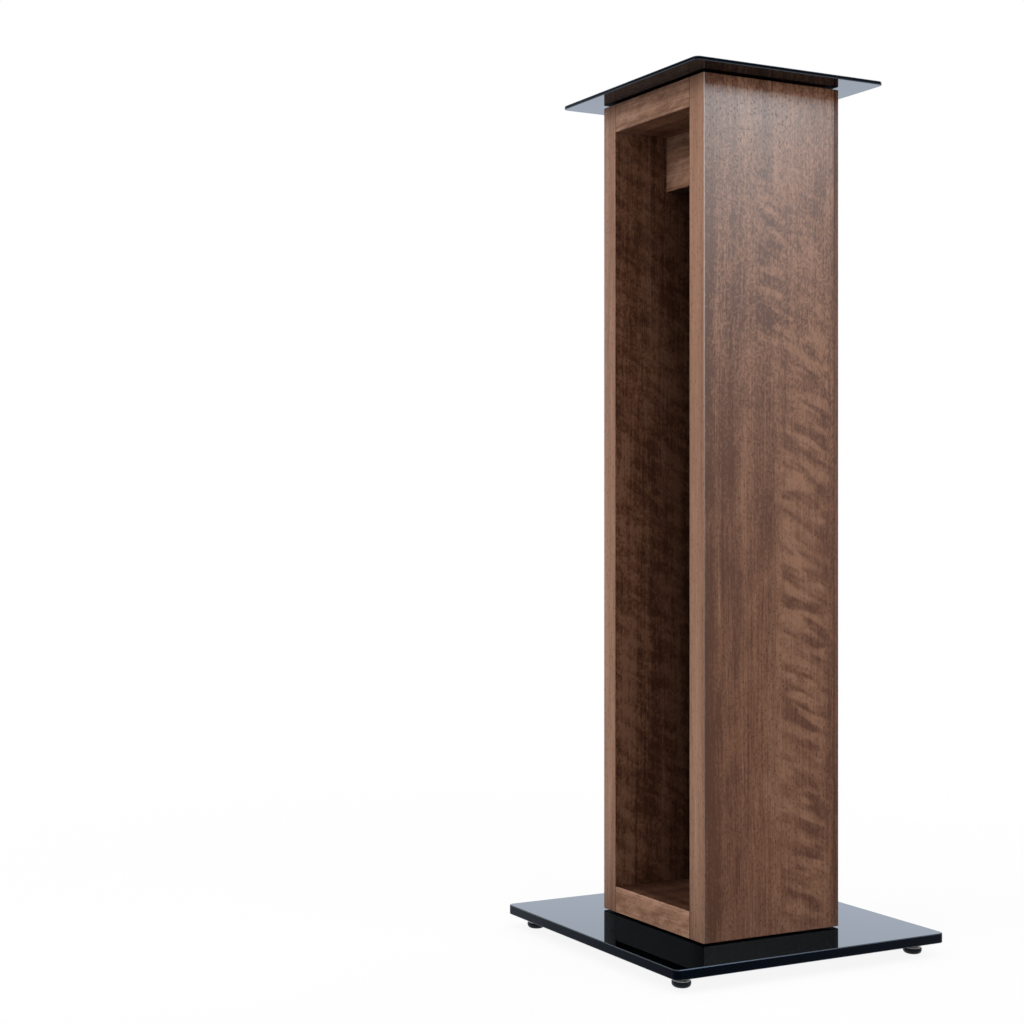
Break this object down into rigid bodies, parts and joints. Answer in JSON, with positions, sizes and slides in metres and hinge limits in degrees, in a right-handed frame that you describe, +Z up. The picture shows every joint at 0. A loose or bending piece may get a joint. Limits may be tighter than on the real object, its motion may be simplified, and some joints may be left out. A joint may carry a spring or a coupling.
{
  "type": "speaker stand",
  "caption": "Speaker stand: a hollow walnut-veneered column, open at the back, between a thin top plate and a thick base plate of black glass, on levelling feet.",
  "frame": {"origin": "on the floor, under the middle of the base plate", "axes": "+Z up; the column's closed front faces -Y and its open back faces +Y; left is -X"},
  "size_m": [0.245, 0.268, 0.7157],
  "materials": {
    "walnut_veneer": "satin lacquered walnut veneer with a figured grain",
    "walnut_solid": "satin walnut, grain along the board",
    "beech": "plain beech dowel",
    "black_glass": "opaque black polished glass with ground edges",
    "black_rubber": "matt black rubber",
    "nylon": "natural nylon",
    "steel": "zinc-plated steel",
    "brass": "turned brass",
    "foot_rubber": "smooth black rubber",
    "foot_steel": "turned nickel-plated steel"
  },
  "bodies": {
    "stand": {"front_panel": "walnut_veneer", "side_panel_left": "walnut_veneer", "side_panel_right": "walnut_veneer", "bottom_board": "walnut_solid", "top_board": "walnut_solid", "cross_rail": "walnut_solid", "dowel_bottom_front_left": "beech", "dowel_bottom_front_right": "beech", "dowel_bottom_rear_left": "beech", "dowel_bottom_rear_right": "beech", "dowel_top_front_left": "beech", "dowel_top_front_right": "beech", "dowel_top_rear_left": "beech", "dowel_top_rear_right": "beech", "dowel_rail_lower_left": "beech", "dowel_rail_lower_right": "beech", "dowel_rail_upper_left": "beech", "dowel_rail_upper_right": "beech", "top_bumper_front_left": "black_rubber", "top_bumper_front_right": "black_rubber", "top_bumper_rear_left": "black_rubber", "top_bumper_rear_right": "black_rubber", "top_plate": "black_glass", "base_plate": "black_glass", "base_bush_front_left": "nylon", "base_bush_front_right": "nylon", "base_bush_rear_left": "nylon", "base_bush_rear_right": "nylon", "base_washer_front_left": "steel", "base_washer_front_right": "steel", "base_washer_rear_left": "steel", "base_washer_rear_right": "steel", "base_bolt_front_left": "steel", "base_bolt_front_right": "steel", "base_bolt_rear_left": "steel", "base_bolt_rear_right": "steel", "base_spacer_front_left": "black_rubber", "base_spacer_front_right": "black_rubber", "base_spacer_rear_left": "black_rubber", "base_spacer_rear_right": "black_rubber", "base_insert_front_left": "brass", "base_insert_front_right": "brass", "base_insert_rear_left": "brass", "base_insert_rear_right": "brass", "foot_boss_front_left": "foot_steel", "foot_boss_front_right": "foot_steel", "foot_boss_rear_left": "foot_steel", "foot_boss_rear_right": "foot_steel"},
    "foot_front_left": {"foot_stud_front_left": "foot_steel", "foot_cap_front_left": "foot_steel", "foot_pad_front_left": "foot_rubber"},
    "foot_front_right": {"foot_stud_front_right": "foot_steel", "foot_cap_front_right": "foot_steel", "foot_pad_front_right": "foot_rubber"},
    "foot_rear_left": {"foot_stud_rear_left": "foot_steel", "foot_cap_rear_left": "foot_steel", "foot_pad_rear_left": "foot_rubber"},
    "foot_rear_right": {"foot_stud_rear_right": "foot_steel", "foot_cap_rear_right": "foot_steel", "foot_pad_rear_right": "foot_rubber"}
  },
  "joints": [
    {"name": "foot_front_left_height", "type": "slide", "parent": "stand", "child": "foot_front_left", "axis": [0, 0, -1], "range_m": [0, 0.002]},
    {"name": "foot_front_right_height", "type": "slide", "parent": "stand", "child": "foot_front_right", "axis": [0, 0, -1], "range_m": [0, 0.002]},
    {"name": "foot_rear_left_height", "type": "slide", "parent": "stand", "child": "foot_rear_left", "axis": [0, 0, -1], "range_m": [0, 0.002]},
    {"name": "foot_rear_right_height", "type": "slide", "parent": "stand", "child": "foot_rear_right", "axis": [0, 0, -1], "range_m": [0, 0.002]}
  ]
}
